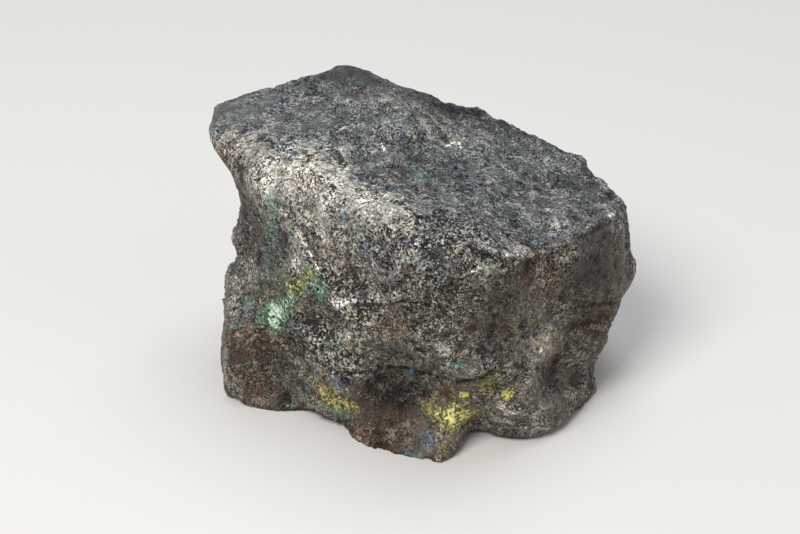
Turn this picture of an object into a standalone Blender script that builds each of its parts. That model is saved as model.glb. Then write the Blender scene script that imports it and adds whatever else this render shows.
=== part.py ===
"""Rough labradorite chunk: one broken block of feldspar rock, in metres, +Z up.

The stone is described in millimetres as an implicit body: fracture faces are planes, the
knobs that stand out from it are smaller convex blocks, and what has chipped away is a groove
and a few shallow scoops. A fine grid is pushed out onto that surface and then thinned.
It lies on its broad broken underside, on the ground at Z = 0.
"""

from math import cos, radians, sin

import bmesh
import bpy
import numpy as np

# Driving dimensions, in millimetres and degrees.
CORE = (-1.0, 2.0, 21.0)  # a point deep inside, from which the whole surface can be seen
CENTRE = (1.1, 4.4)  # middle of the stone's box, brought over the origin
ROUNDING = 0.77  # how far the fracture edges are worn
KNOB_BLEND = 3.0
CELLS = 64  # grid cells along each side of the six-sided grid
TRIANGLE_SHARE = 0.197  # share of the fine grid's triangles that the finished solid keeps

# Fracture faces: a point on the face, and where it faces. Azimuth 0 faces the front (-Y) and
# 90 the right (+X); the second angle is the tilt up.
FRACTURE_FACES = {
    "top_left": ((-20, 6, 56.8), -10, 82.5),
    "top_right": ((6, 2, 50.3), 82, 73),
    "tip_top": ((-42, 20, 56.9), -90, 74),
    "front_left": ((-23, -13, 26), -35, 1),
    "flank": ((-27, -12, 33), -52, -1),
    "shoulder": ((-19, -14.5, 50.6), -32, 45),
    "brow": ((4, -24.4, 49.6), -6, 46),
    "front": ((-2, -31.5, 36), -6, 14),
    "front_middle": ((14, -28.8, 32), 16, 4),
    "front_turn": ((24, -23.5, 31), 33, 0),
    "front_under": ((-4, -31.5, 26), -6, -26),
    "brow_step": ((30, -15.5, 44.3), 61, 10),
    "front_right": ((37.8, -8.1, 43.5), 52, 6),
    "right": ((48.1, 5, 30), 86, -1),
    "right_low": ((42.8, 1, 20), 78, -27),
    "back_corner": ((43.6, 11.8, 34), 112, 2),
    "back_right": ((29.0, 29.5, 38), 139, 5),
    "back": ((4, 35.2, 36), 184, 4),
    "back_left": ((-27, 32, 40), 205, 6),
    "tip_back": ((-44.3, 19.3, 45), 236, -2),
    "left": ((-39.4, 0, 30), -95, -13),
    "underside": ((0, 28, -0.3), 0, -88),
}

# Knobs: the middle of each block, its reach, and its faces as (azimuth, tilt, distance).
KNOBS = {
    "foot": (
        (-1, -21, 2),
        15,
        ((-16, 10, 7.9), (-47, 8, 9.5), (40, 4, 11.6), (69, -4, 11.5), (-6, 40, 9.8), (0, -86, 4)),
    ),
    "belly": ((-9, -12, 29), 11.6, ((-52, 4, 10.4), (-14, -8, 10.8), (-30, 40, 10))),
    "left_foot": (
        (-32, 0, 8),
        20,
        ((-86, 4, 9.4), (-12, 8, 9.8), (30, 14, 10), (-30, 40, 12.6), (-60, -40, 12.3), (-60, -84, 10)),
    ),
    "lobe": (
        (22, -9, 8),
        18,
        ((74, 4, 12.6), (44, 4, 12.8), (10, 8, 14), (-38, 8, 14), (20, 44, 13),
         (48, -42, 13.4), (-20, -84, 10)),
    ),
    "peak": (
        (-15, 26, 46),
        22,
        ((20, 76, 15.7), (-30, 62, 14.2), (250, 54, 15.5), (105, 58, 13.8), (190, 8, 9)),
    ),
}

# The hollow that runs along the left side, under the tip: from, to, radius.
SIDE_HOLLOW = ((-54.5, -26, 38.8), (-54.5, 44, 39.8), 17)
HOLLOW_BLEND = 2.0

# Scoops: a point on the surface, where it faces, ball radius, depth, blend.
SCOOPS = {
    "recess_over_foot": ((-4, -23.2, 14), -8, 4, 12.5, 3.2, 2.2),
    "dark_hollow": ((-20, -15, 24), -35, -5, 8, 2.4, 1.5),
    "right_brow": ((30, -17.5, 31), 42, -8, 34, 2.4, 2.0),
    "right_pit": ((32, -13.5, 17), 48, -6, 14, 2.8, 1.6),
    "under_brow": ((26, -18.5, 39.5), 44, -4, 13, 3.2, 1.0),
    "left_groove": ((-35.2, 0, 36), -60, 4, 16, 1.4, 1.5),
    "top_dish": ((0, -2, 52), 30, 80, 50, 1.8, 0.8),
}

SCOOP_BEND_SIZE, SCOOP_BEND = 6.5, 1.4  # how far the scoops wander from balls

# Relief over the whole stone.
SWELL_SIZE, SWELL_HEIGHT = 22.0, 0.9
LARGE_CHIP, LARGE_CHIP_DEPTH = 15.0, 1.85
SMALL_CHIP, SMALL_CHIP_DEPTH = 6.0, 1.0
CHIP_MEAN = 0.42  # average of the chip pattern, taken off so that chips don't swell the stone
ROUGH_PATCH, ROUGH_CONTRAST, ROUGH_MEAN = 20.0, 0.7, 0.6  # the small chips come in patches
ROUGH_LEAST = 0.3
LEDGE_FACING = (-38, 24)  # the cleavage that the ledges follow
LEDGE_SPACING, LEDGE_HEIGHT = 4.6, 1.1
LEDGE_TREAD = 0.82  # share of a ledge that is tread, the rest is riser
LEDGE_PATCH, LEDGE_CONTRAST, LEDGE_MEAN = 14.0, 1.3, 0.35  # and so do the ledges
BEND_SIZE, BEND = 16.0, 2.2  # how far chips and ledges wander
TWIST_SIZE, TWIST = 4.5, 0.8

# Each pattern starts from a seed of its own; one that moves points takes three.
SWELL_SEED, LARGE_CHIP_SEED, SMALL_CHIP_SEED = 1, 41, 51
LEDGE_SEED, ROUGH_SEED = 61, 71
BEND_SEEDS, TWIST_SEEDS, SCOOP_BEND_SEEDS = (11, 21, 31), (14, 24, 34), (131, 141, 151)
LAYER_TURN = ((0.36, 0.48, -0.8), (-0.8, 0.6, 0.0), (0.48, 0.64, 0.6))  # between noise layers
FAR_APART = 9.0  # more than the squared distance, in cells, to any neighbour's point

# How far along each ray from the core the surface is looked for, and how finely.
NEAREST, FARTHEST = 4.0, 85.0
RELIEF_REACH = 5.0  # chips and ledges stay within this of the plain body
PLAIN_HALVINGS, BROKEN_HALVINGS = 18, 10

ROCK_COLOUR = (0.105, 0.098, 0.088, 1.0)
ROCK_ROUGHNESS = 0.62

MILLIMETRE = 0.001
SLAB_WIDTH, SLAB_DEPTH = 160 * MILLIMETRE, 20 * MILLIMETRE  # cuts away all that is under Z = 0


def facing(azimuth, tilt):
    """Unit vector for a direction given as two angles."""
    a, t = radians(azimuth), radians(tilt)
    return np.array([sin(a) * cos(t), -cos(a) * cos(t), sin(t)])


def ball_centre(surface_point, azimuth, tilt, radius, depth):
    return np.array(surface_point, float) + facing(azimuth, tilt) * (radius - depth)


def larger(a, b, blend):
    """The larger of two distances, with the crease between them rounded over blend."""
    h = np.clip(0.5 + 0.5 * (a - b) / blend, 0, 1)
    return b + (a - b) * h + blend * h * (1 - h)


def smaller(a, b, blend):
    return -larger(-a, -b, blend)


def largest(distances):
    """The largest of many distances, with every edge worn round."""
    stack = np.stack(distances) / ROUNDING
    top = stack.max(axis=0)
    return ROUNDING * (top + np.log(np.exp(stack - top).sum(axis=0)))


def body(points):
    """Distance from the unchipped stone's surface: below 0 inside, above 0 outside."""
    stone = largest(
        [(points - np.array(on, float)) @ facing(a, t) for on, a, t in FRACTURE_FACES.values()]
    )
    for middle, reach, faces in KNOBS.values():
        local = points - np.array(middle, float)
        sides = [local @ facing(a, t) - distance for a, t, distance in faces]
        sides.append(np.linalg.norm(local, axis=-1) - reach)
        stone = smaller(stone, largest(sides), KNOB_BLEND)
    start, end, radius = (np.array(value, float) for value in SIDE_HOLLOW)
    along = np.clip((points - start) @ (end - start) / ((end - start) @ (end - start)), 0, 1)
    from_axis = np.linalg.norm(points - start - along[:, None] * (end - start), axis=-1)
    stone = larger(stone, radius - from_axis, HOLLOW_BLEND)
    bent = points + SCOOP_BEND * wander(noise, points, SCOOP_BEND_SIZE, SCOOP_BEND_SEEDS)
    for on, azimuth, tilt, radius, depth, blend in SCOOPS.values():
        centre = ball_centre(on, azimuth, tilt, radius, depth)
        stone = larger(stone, radius - np.linalg.norm(bent - centre, axis=-1), blend)
    return stone


def random_at(cells, seed):
    """A fixed number from 0 to 1 for each whole-number cell, from mixing its bits."""
    x, y, z = (cells[:, k].astype(np.uint32) for k in range(3))
    mixed = x * np.uint32(374761393) + y * np.uint32(668265263) + z * np.uint32(2246822519)
    mixed = mixed + np.uint32((seed * 97 + 13) * 3266489917 % 2**32)
    mixed = (mixed ^ (mixed >> np.uint32(15))) * np.uint32(2246822519)
    mixed = (mixed ^ (mixed >> np.uint32(13))) * np.uint32(3266489917)
    mixed = mixed ^ (mixed >> np.uint32(16))
    return (mixed & np.uint32(0xFFFFFF)) / float(0x1000000)


def noise(points, size, seed):
    """Smooth noise from -1 to 1, with lumps of about the given size."""
    scaled = points / size
    cell = np.floor(scaled).astype(np.int64)
    part = scaled - cell
    weight = part**3 * (part * (part * 6 - 15) + 10)
    total = np.zeros(len(points))
    for corner in np.ndindex(2, 2, 2):
        share = np.abs(1 - np.array(corner) - weight).prod(axis=1)
        total += share * random_at(cell + np.array(corner), seed)
    return total * 2 - 1


def swells(points, size, seed):
    """Two layers of noise, the second turned, half the size and half the height."""
    turned = points @ np.array(LAYER_TURN)
    return noise(points, size, seed) + 0.5 * noise(turned, size / 2, seed + 1)


def wander(pattern, points, size, seeds):
    """Three patterns side by side, as a way for each point to move."""
    return np.stack([pattern(points, size, seed) for seed in seeds], axis=-1)


def chips(points, size, seed):
    """Scalloped chips: squared distance to the nearest of one random point in each cell."""
    scaled = points / size
    cell = np.floor(scaled).astype(np.int64)
    nearest = np.full(len(points), FAR_APART)
    for step in np.ndindex(3, 3, 3):
        neighbour = cell + np.array(step) - 1
        offset = np.stack([random_at(neighbour, seed + k) for k in range(3)], axis=-1)
        nearest = np.minimum(nearest, ((neighbour + offset - scaled) ** 2).sum(axis=1))
    return nearest


def ledges(points, where):
    """A worn staircase across the cleavage, rising over each tread and falling at the riser."""
    climb = points @ facing(*LEDGE_FACING) / LEDGE_SPACING
    part = climb - np.floor(climb)
    amount = swells(where, LEDGE_PATCH, LEDGE_SEED) * LEDGE_CONTRAST + LEDGE_MEAN
    amount = np.clip(amount, 0, 1)
    return amount * (np.clip(part / LEDGE_TREAD, 0, 1) - part)


def relief(points):
    """How far the broken surface stands out from the plain body."""
    bend = wander(swells, points, BEND_SIZE, BEND_SEEDS)
    twist = wander(noise, points, TWIST_SIZE, TWIST_SEEDS)
    bent = points + bend * BEND + twist * TWIST
    rough = swells(points, ROUGH_PATCH, ROUGH_SEED) * ROUGH_CONTRAST + ROUGH_MEAN
    rough = np.clip(rough, ROUGH_LEAST, 1)
    height = SWELL_HEIGHT * swells(points, SWELL_SIZE, SWELL_SEED)
    height += LARGE_CHIP_DEPTH * (chips(bent, LARGE_CHIP, LARGE_CHIP_SEED) - CHIP_MEAN)
    height += SMALL_CHIP_DEPTH * rough * (chips(bent, SMALL_CHIP, SMALL_CHIP_SEED) - CHIP_MEAN)
    return height + LEDGE_HEIGHT * ledges(bent, points)


def distance_along(rays, surface, low, high, halvings):
    """Where each ray from the core leaves the surface, found by halving."""
    for _ in range(halvings):
        middle = (low + high) / 2
        inside = surface(np.array(CORE) + rays * middle[:, None]) < 0
        low, high = np.where(inside, middle, low), np.where(inside, high, middle)
    return (low + high) / 2


def stone_points(rays):
    """Points of the broken surface, in millimetres, one for each ray from the core."""
    count = len(rays)
    near, far = np.full(count, NEAREST), np.full(count, FARTHEST)
    plain = distance_along(rays, body, near, far, PLAIN_HALVINGS)
    near, far = plain - RELIEF_REACH, plain + RELIEF_REACH
    broken = distance_along(rays, lambda p: body(p) - relief(p), near, far, BROKEN_HALVINGS)
    return np.array(CORE) + rays * broken[:, None]


def stone_mesh():
    """A cube cut into even cells, each of its points pushed out to the stone's surface."""
    grid = bmesh.new()
    bmesh.ops.create_cube(grid, size=2.0)
    bmesh.ops.subdivide_edges(grid, edges=grid.edges[:], cuts=CELLS - 1, use_grid_fill=True)
    bmesh.ops.recalc_face_normals(grid, faces=grid.faces[:])
    on_cube = np.array([vertex.co for vertex in grid.verts], float)
    rays = np.tan(on_cube * np.pi / 4)
    rays /= np.linalg.norm(rays, axis=1, keepdims=True)
    points = stone_points(rays) - np.array([*CENTRE, 0.0])
    for vertex, point in zip(grid.verts, points * MILLIMETRE):
        vertex.co = point
    mesh = bpy.data.meshes.new("labradorite_chunk")
    grid.to_mesh(mesh)
    grid.free()
    return mesh


def add_object(name, mesh):
    item = bpy.data.objects.new(name, mesh)
    bpy.context.scene.collection.objects.link(item)
    return item


def ground_cutter():
    """A slab with its top at Z = 0, which leaves the flats that the stone rests on."""
    slab = bmesh.new()
    bmesh.ops.create_cube(slab, size=1.0)
    bmesh.ops.scale(slab, vec=(SLAB_WIDTH, SLAB_WIDTH, SLAB_DEPTH), verts=slab.verts[:])
    bmesh.ops.translate(slab, vec=(0, 0, -SLAB_DEPTH / 2), verts=slab.verts[:])
    mesh = bpy.data.meshes.new("ground_cutter")
    slab.to_mesh(mesh)
    slab.free()
    cutter = add_object("ground_cutter", mesh)
    cutter.hide_render = True
    cutter.display_type = "WIRE"
    return cutter


def rock_material():
    material = bpy.data.materials.new("labradorite_rock")
    material.use_nodes = True
    shader = material.node_tree.nodes["Principled BSDF"]
    shader.inputs["Base Color"].default_value = ROCK_COLOUR
    shader.inputs["Roughness"].default_value = ROCK_ROUGHNESS
    shader.inputs["Metallic"].default_value = 0.0
    material.diffuse_color = ROCK_COLOUR
    return material


def build_stone():
    stone = add_object("labradorite_chunk", stone_mesh())
    stone.data.materials.append(rock_material())
    thin = stone.modifiers.new("fewer_triangles", "DECIMATE")
    thin.ratio = TRIANGLE_SHARE
    cut = stone.modifiers.new("resting_flats", "BOOLEAN")
    cut.operation = "DIFFERENCE"
    cut.solver = "EXACT"
    cut.object = ground_cutter()


def main():
    for item in list(bpy.data.objects):
        bpy.data.objects.remove(item, do_unlink=True)
    build_stone()


main()
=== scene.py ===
from math import cos, pi, radians, sin

import bpy
import numpy as np
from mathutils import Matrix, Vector


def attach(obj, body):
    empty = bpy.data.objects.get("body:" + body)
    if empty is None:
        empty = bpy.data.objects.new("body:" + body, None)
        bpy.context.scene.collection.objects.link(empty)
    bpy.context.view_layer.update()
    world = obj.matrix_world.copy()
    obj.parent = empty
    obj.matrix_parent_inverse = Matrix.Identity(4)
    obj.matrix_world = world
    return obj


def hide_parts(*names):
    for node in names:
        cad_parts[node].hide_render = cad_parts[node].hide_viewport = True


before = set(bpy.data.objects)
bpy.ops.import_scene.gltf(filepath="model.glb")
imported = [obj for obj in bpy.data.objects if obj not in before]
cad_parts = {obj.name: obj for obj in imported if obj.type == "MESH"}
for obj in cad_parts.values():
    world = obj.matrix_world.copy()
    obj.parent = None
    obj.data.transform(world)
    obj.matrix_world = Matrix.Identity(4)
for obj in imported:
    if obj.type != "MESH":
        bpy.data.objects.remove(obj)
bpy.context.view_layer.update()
millimetre = 0.001

# Lengths below are millimetres, angles degrees. Azimuth 0 faces the front (-Y), 90 the right (+X).
stone = {
    "cells": (152, 92, 140),  # grid cells along X, Y and Z of the box that is pushed out to the stone
    "quickCells": (84, 52, 76),
    "core": (-1.0, 2.0, 21.0),  # a point deep inside, from which the whole surface can be seen
    "centre": (1.1, 4.4),  # middle of the stone's box, brought over the origin
    "rounding": 0.77,  # how far the fracture edges are worn
    "knobBlend": 3.0,
    # fracture faces: a point on the face, azimuth, tilt
    "faces": {
        "topLeft": ((-20, 6, 56.8), -10, 82.5),
        "topRight": ((6, 2, 50.3), 82, 73),
        "tipTop": ((-42, 20, 56.9), -90, 74),
        "frontLeft": ((-23, -13, 26), -35, 1),
        "flank": ((-27, -12, 33), -52, -1),
        "shoulder": ((-19, -14.5, 50.6), -32, 45),
        "brow": ((4, -24.4, 49.6), -6, 46),
        "front": ((-2, -31.5, 36), -6, 14),
        "frontMiddle": ((14, -28.8, 32), 16, 4),
        "frontTurn": ((24, -23.5, 31), 33, 0),
        "frontUnder": ((-4, -31.5, 26), -6, -26),
        "browStep": ((30, -15.5, 44.3), 61, 10),
        "frontRight": ((37.8, -8.1, 43.5), 52, 6),
        "right": ((48.1, 5, 30), 86, -1),
        "rightLow": ((42.8, 1, 20), 78, -27),
        "backCorner": ((43.6, 11.8, 34), 112, 2),
        "backRight": ((29.0, 29.5, 38), 139, 5),
        "back": ((4, 35.2, 36), 184, 4),
        "backLeft": ((-27, 32, 40), 205, 6),
        "tipBack": ((-44.3, 19.3, 45), 236, -2),
        "left": ((-39.4, 0, 30), -95, -13),
        "underside": ((0, 28, -0.3), 0, -88),
    },
    # knobs: middle, reach, and their faces as (azimuth, tilt, distance)
    "knobs": {
        "foot": ((-1, -21, 2), 15, (
            (-16, 10, 7.9), (-47, 8, 9.5), (40, 4, 11.6), (69, -4, 11.5), (-6, 40, 9.8), (0, -86, 4))),
        "belly": ((-9, -12, 29), 11.6, ((-52, 4, 10.4), (-14, -8, 10.8), (-30, 40, 10))),
        "leftFoot": ((-32, 0, 8), 20, (
            (-86, 4, 9.4), (-12, 8, 9.8), (30, 14, 10), (-30, 40, 12.6), (-60, -40, 12.3), (-60, -84, 10))),
        "lobe": ((22, -9, 8), 18, (
            (74, 4, 12.6), (44, 4, 12.8), (10, 8, 14), (-38, 8, 14), (20, 44, 13),
            (48, -42, 13.4), (-20, -84, 10))),
        "peak": ((-15, 26, 46), 22, (
            (20, 76, 15.7), (-30, 62, 14.2), (250, 54, 15.5), (105, 58, 13.8), (190, 8, 9))),
    },
    # the hollow along the left side, under the tip: from, to, radius, blend
    "sideHollow": ((-54.5, -26, 38.8), (-54.5, 44, 39.8), 17, 2.0),
    # scoops: a point on the surface, azimuth, tilt, ball radius, depth, blend
    "scoops": {
        "recessOverFoot": ((-4, -23.2, 14), -8, 4, 12.5, 3.2, 2.2),
        "darkHollow": ((-20, -15, 24), -35, -5, 8, 2.4, 1.5),
        "rightBrow": ((30, -17.5, 31), 42, -8, 34, 2.4, 2.0),
        "rightPit": ((32, -13.5, 17), 48, -6, 14, 2.8, 1.6),
        "underBrow": ((26, -18.5, 39.5), 44, -4, 13, 3.2, 1.0),
        "leftGroove": ((-35.2, 0, 36), -60, 4, 16, 1.4, 1.5),
        "topDish": ((0, -2, 52), 30, 80, 50, 1.8, 0.8),
    },
    "scoopBend": (6.5, 1.4),  # how much the scoops wander from balls
    # relief: size and height of swells, then of chips, then the ledges along the cleavage
    "swell": (22.0, 0.9),
    "largeChip": (15.0, 1.85),
    "smallChip": (6.0, 1.0),
    "chipMean": 0.42,  # taken off so that chips don't swell the stone
    "ledgeFacing": (-38, 24),
    "ledge": (4.6, 1.1, 0.82),  # spacing, height, share that is tread
    "ledgePatch": (14.0, 1.3, 0.35),  # ledges come in patches: their size, contrast and mean
    "roughPatch": (20.0, 0.7, 0.6),  # and so do the small chips
    "roughLeast": 0.3,
    "bend": (16.0, 2.2),  # how much chips and ledges wander, and over what length
    "twist": (4.5, 0.8),
    # fine relief, below what the solid has
    "facet": ((5.2, 0.14), (2.1, 0.17)),  # size of the broken faces, and how steeply they lean
    "flake": (2.5, 0.3),
    "calmTop": (44.0, 6.0, 0.6),  # from what height, over what rise and how much smoother the top is
    "fineLeast": 0.3,
    "fineTwist": (2.2, 0.5),
    "grit": (1.15, 0.17),
    "pit": (2.3, 0.7, 0.5),  # spacing, depth, radius as a share of the spacing
    "pitPatch": (4.0, 0.4, 0.12),  # size and mean of the pits' patches, and how pitted the rest is
    "broad": 4.0,  # how far away the hollows and edges are felt
}

# Each layer of noise has its own seed.
seeds = {
    "swell": 1, "bend": (11, 21, 31), "twist": (14, 24, 34), "largeChip": 41, "smallChip": 51,
    "ledgePatch": 61, "roughPatch": 71, "fineTwist": (81, 82, 83), "flake": 91, "grit": 95,
    "pit": 101, "pitPatch": 105, "facet": (111, 121), "scoopBend": (131, 141, 151),
}

# How the surface is looked for along a ray: from, to, halvings, and then again near the first answer.
search = {"near": 4.0, "far": 85.0, "halvings": 16, "around": 5, "finer": 9, "steepest": -0.01}


def facing(azimuth, tilt):
    # (sin a cos t, -cos a cos t, sin t)
    a, t = radians(azimuth), radians(tilt)
    return np.array([sin(a) * cos(t), -cos(a) * cos(t), sin(t)])


def larger(a, b, blend):
    # the larger of two distances, the crease rounded: b + (a-b)h + blend h(1-h)
    h = np.clip(0.5 + 0.5 * (a - b) / blend, 0, 1)
    return b + (a - b) * h + blend * h * (1 - h)


def largest(distances):
    # the largest of many distances with worn edges: r log(sum(exp(d / r)))
    stack = np.stack(distances) / stone["rounding"]
    top = stack.max(axis=0)
    return stone["rounding"] * (top + np.log(np.exp(stack - top).sum(axis=0)))


def plainStone(points):
    # distance from the unchipped stone: planes cut it, knobs join it, hollow and balls are taken out
    form = largest([(points - np.array(on, float)) @ facing(a, t) for on, a, t in stone["faces"].values()])
    for middle, reach, sides in stone["knobs"].values():
        local = points - np.array(middle, float)
        knob = [local @ facing(a, t) - distance for a, t, distance in sides]
        knob.append(np.linalg.norm(local, axis=-1) - reach)
        form = -larger(-form, -largest(knob), stone["knobBlend"])
    start, end = (np.array(value, float) for value in stone["sideHollow"][:2])
    radius, blend = stone["sideHollow"][2:]
    form = larger(form, radius - segmentDistance(points, start, end), blend)
    bent = points + wander(noise, points, *stone["scoopBend"], seeds["scoopBend"])
    for on, azimuth, tilt, radius, depth, blend in stone["scoops"].values():
        middle = np.array(on, float) + facing(azimuth, tilt) * (radius - depth)
        form = larger(form, radius - np.linalg.norm(bent - middle, axis=-1), blend)
    return form


def segmentDistance(points, start, end):
    # |p - start - (end - start) clip(t, 0, 1)|
    run = end - start
    along = np.clip((points - start) @ run / (run @ run), 0, 1)
    return np.linalg.norm(points - start - along[:, None] * run, axis=-1)


def randomAt(cells, seed):
    # a fixed number from 0 to 1 for each whole-number cell, from mixing its bits
    x, y, z = (cells[:, k].astype(np.uint32) for k in range(3))
    mixed = x * np.uint32(374761393) + y * np.uint32(668265263) + z * np.uint32(2246822519)
    mixed = mixed + np.uint32((seed * 97 + 13) * 3266489917 % 2**32)
    mixed = (mixed ^ (mixed >> np.uint32(15))) * np.uint32(2246822519)
    mixed = (mixed ^ (mixed >> np.uint32(13))) * np.uint32(3266489917)
    mixed = mixed ^ (mixed >> np.uint32(16))
    return (mixed & np.uint32(0xFFFFFF)) / float(0x1000000)


def noise(points, size, seed):
    # smooth noise from -1 to 1: cell corners' random numbers, weighted by t^3 (t (6t - 15) + 10)
    scaled = points / size
    cell = np.floor(scaled).astype(np.int64)
    part = scaled - cell
    weight = part**3 * (part * (part * 6 - 15) + 10)
    total = np.zeros(len(points))
    for corner in np.ndindex(2, 2, 2):
        share = np.abs(1 - np.array(corner) - weight).prod(axis=1)
        total += share * randomAt(cell + np.array(corner), seed)
    return total * 2 - 1


swellTurn = np.array([[0.36, 0.48, -0.8], [-0.8, 0.6, 0.0], [0.48, 0.64, 0.6]])


def swells(points, size, seed):
    # noise + half of a second noise, turned and half the size
    return noise(points, size, seed) + 0.5 * noise(points @ swellTurn, size / 2, seed + 1)


def wander(layer, points, size, reach, ways):
    # reach * (layer 1, layer 2, layer 3), a sideways step for each point
    return reach * np.stack([layer(points, size, seed) for seed in ways], axis=-1)


def aroundCells(points, size, seed):
    # each of the 27 cells round a point, with the way from the cell's one random point to it
    scaled = points / size
    cell = np.floor(scaled).astype(np.int64)
    for step in np.ndindex(3, 3, 3):
        neighbour = cell + np.array(step) - 1
        offset = np.stack([randomAt(neighbour, seed + k) for k in range(3)], axis=-1)
        yield neighbour, scaled - neighbour - offset


def chips(points, size, seed):
    # squared distance to the nearest of one random point in each cell
    nearest = np.full(len(points), np.inf)
    for _, local in aroundCells(points, size, seed):
        nearest = np.minimum(nearest, (local**2).sum(axis=1))
    return nearest


def facets(points, size, seed):
    # g . (p - c): each point leans with the random slope g of its nearest cell point c
    nearest, height = np.full(len(points), np.inf), np.zeros(len(points))
    for neighbour, local in aroundCells(points, size, seed):
        distance = (local**2).sum(axis=1)
        closer = distance < nearest
        slope = 2 * np.stack([randomAt(neighbour[closer], seed + k) for k in (3, 4, 5)], axis=-1) - 1
        height[closer] = (slope * local[closer]).sum(axis=1)
        nearest[closer] = distance[closer]
    return height * size


def ledges(points, where):
    # a worn staircase: min(f / tread, 1) - f, with f the fraction of the climb across the cleavage
    spacing, height, tread = stone["ledge"]
    climb = points @ facing(*stone["ledgeFacing"]) / spacing
    part = climb - np.floor(climb)
    size, contrast, mean = stone["ledgePatch"]
    amount = np.clip(swells(where, size, seeds["ledgePatch"]) * contrast + mean, 0, 1)
    return height * amount * (np.clip(part / tread, 0, 1) - part)


def relief(points):
    # how far the broken surface stands out from the plain stone: swells + chips + ledges, on bent points
    bent = points + wander(swells, points, *stone["bend"], seeds["bend"])
    bent += wander(noise, points, *stone["twist"], seeds["twist"])
    size, rise = stone["swell"]
    height = rise * swells(points, size, seeds["swell"])
    for name, share in (("largeChip", 1), ("smallChip", roughness(points))):
        size, depth = stone[name]
        height += depth * share * (chips(bent, size, seeds[name]) - stone["chipMean"])
    return height + ledges(bent, points)


def roughness(points):
    # how chipped the stone is: contrast * swells + mean, held between the least and 1
    size, contrast, mean = stone["roughPatch"]
    return np.clip(swells(points, size, seeds["roughPatch"]) * contrast + mean, stone["roughLeast"], 1)


def findSurface(origins, rays, surface, low, high, halvings):
    # halves the stretch of each ray that holds the surface
    for _ in range(halvings):
        middle = (low + high) / 2
        inside = surface(origins + rays * middle[:, None]) < 0
        low, high = np.where(inside, middle, low), np.where(inside, high, middle)
    return (low + high) / 2


def fromCore(rays):
    # how far the plain stone reaches from the core along each ray
    near, far = np.full(len(rays), search["near"]), np.full(len(rays), search["far"])
    return findSurface(stone["core"], rays, plainStone, near, far, search["halvings"])


# The camera looks down on the stone at 30 degrees, from the front.
camera = {
    "elevation": 30, "aim": (-4.0, 0.0, 28.8), "distance": 464.4,
    "lens": 100.0, "sensor": 36.0, "clip": 0.01,
}
imageSize = (800, 534)
# how the stone is looked for along a line of sight: reach around the aim, steps, then finer
sight = {"reach": 70, "steps": 281, "around": 4, "halvings": 12}


def cameraFrame():
    # place, right, up and forward vectors of the camera, in the stone's millimetres
    tilt = radians(camera["elevation"])
    forward = np.array([0, cos(tilt), -sin(tilt)])
    place = np.array(camera["aim"]) - forward * camera["distance"]
    return place, np.array([1.0, 0, 0]), np.array([0, sin(tilt), cos(tilt)]), forward


def onStone(spots):
    # where the lines of sight through points (x, y) of the camera's frame first meet the chipped stone
    place, right, up, forward = cameraFrame()
    perPixel = camera["sensor"] / camera["lens"] / imageSize[0]
    spots = np.array(spots, float)
    rays = forward + (spots[:, :1] - imageSize[0] / 2) * perPixel * right
    rays = rays - (spots[:, 1:2] - imageSize[1] / 2) * perPixel * up
    near, far = camera["distance"] - sight["reach"], camera["distance"] + sight["reach"]
    depths = np.linspace(near, far, sight["steps"])
    line = place + rays[:, None] * depths[None, :, None]
    outside = (plainStone(line.reshape(-1, 3)) > 0).reshape(len(spots), sight["steps"])
    first = depths[np.argmax(~outside, axis=1)]
    around = sight["around"]
    broken = findSurface(
        place, rays, lambda p: relief(p) - plainStone(p), first - around, first + around, sight["halvings"])
    return place + rays * broken[:, None]


# Hairline cracks and seams: points of the camera's frame along each, radius, depth.
cracks = {
    "undercut": (
        ((292, 338), (310, 353), (330, 371), (360, 374), (390, 367), (420, 374), (446, 380)), 0.9, 0.8),
    "underLip": (((440, 379), (456, 382), (472, 381), (486, 377), (494, 370)), 0.7, 0.9),
    "lipTop": (((452, 362), (470, 356), (490, 352), (506, 352)), 0.6, 0.3),
    "pittedLine": (((318, 360), (333, 371), (350, 382)), 0.7, 0.6),
    "greenUpper": (((266, 304), (276, 313), (288, 322)), 0.5, 0.35),
    "greenLower": (((262, 314), (272, 322), (280, 326)), 0.5, 0.3),
    "topHole": (((339, 161), (342, 159)), 1, 1.2),
    "backCrack": (((436, 104), (458, 110), (480, 115)), 0.9, 0.8),
    "footNotch": (((284, 398), (287, 405)), 1.6, 1.2),
    "rightSeam": (((560, 254), (580, 238), (600, 226), (622, 218)), 0.8, 0.5),
    "rightShelf": (((588, 306), (602, 304), (614, 303)), 0.7, 0.5),
    "lobeArc": (((500, 330), (515, 323), (532, 323)), 0.6, 0.3),
    "lobeArcLow": (((508, 350), (522, 344), (545, 343)), 0.6, 0.3),
}


# Raised lines: points of the camera's frame along each, radius, height.
ridges = {
    "dishLeft": (((388, 188), (401, 204), (415, 219)), 1.6, 0.7),
    "dishRight": (((415, 219), (430, 213), (447, 207)), 1.5, 0.6),
    "browEdge": (
        ((490, 250), (512, 257), (540, 254), (557, 249), (570, 238), (582, 228), (604, 218)), 1.6, 0.8),
    "ribCrest": (((284, 214), (296, 240), (310, 268), (322, 284)), 2, 0.9),
    "ribLeft": (((268, 196), (272, 225), (268, 262), (266, 300), (272, 322)), 2.2, 0.9),
    "frontRidge": (((415, 222), (408, 250), (398, 275)), 2.4, 0.6),
    "bellyEdge": (((300, 330), (330, 362), (360, 366), (392, 360), (430, 366)), 2.6, 0.8),
    "lip": (((440, 372), (458, 370), (478, 369), (494, 364)), 1.9, 1),
    "lobeCrest": (((556, 312), (540, 350), (520, 395), (508, 420)), 3.2, 0.9),
    "leftRim": (((230, 330), (226, 365), (232, 395)), 1.8, 0.7),
    "yellowEdge": (((300, 398), (322, 408), (345, 414), (362, 412)), 1.6, 0.7),
}


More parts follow.
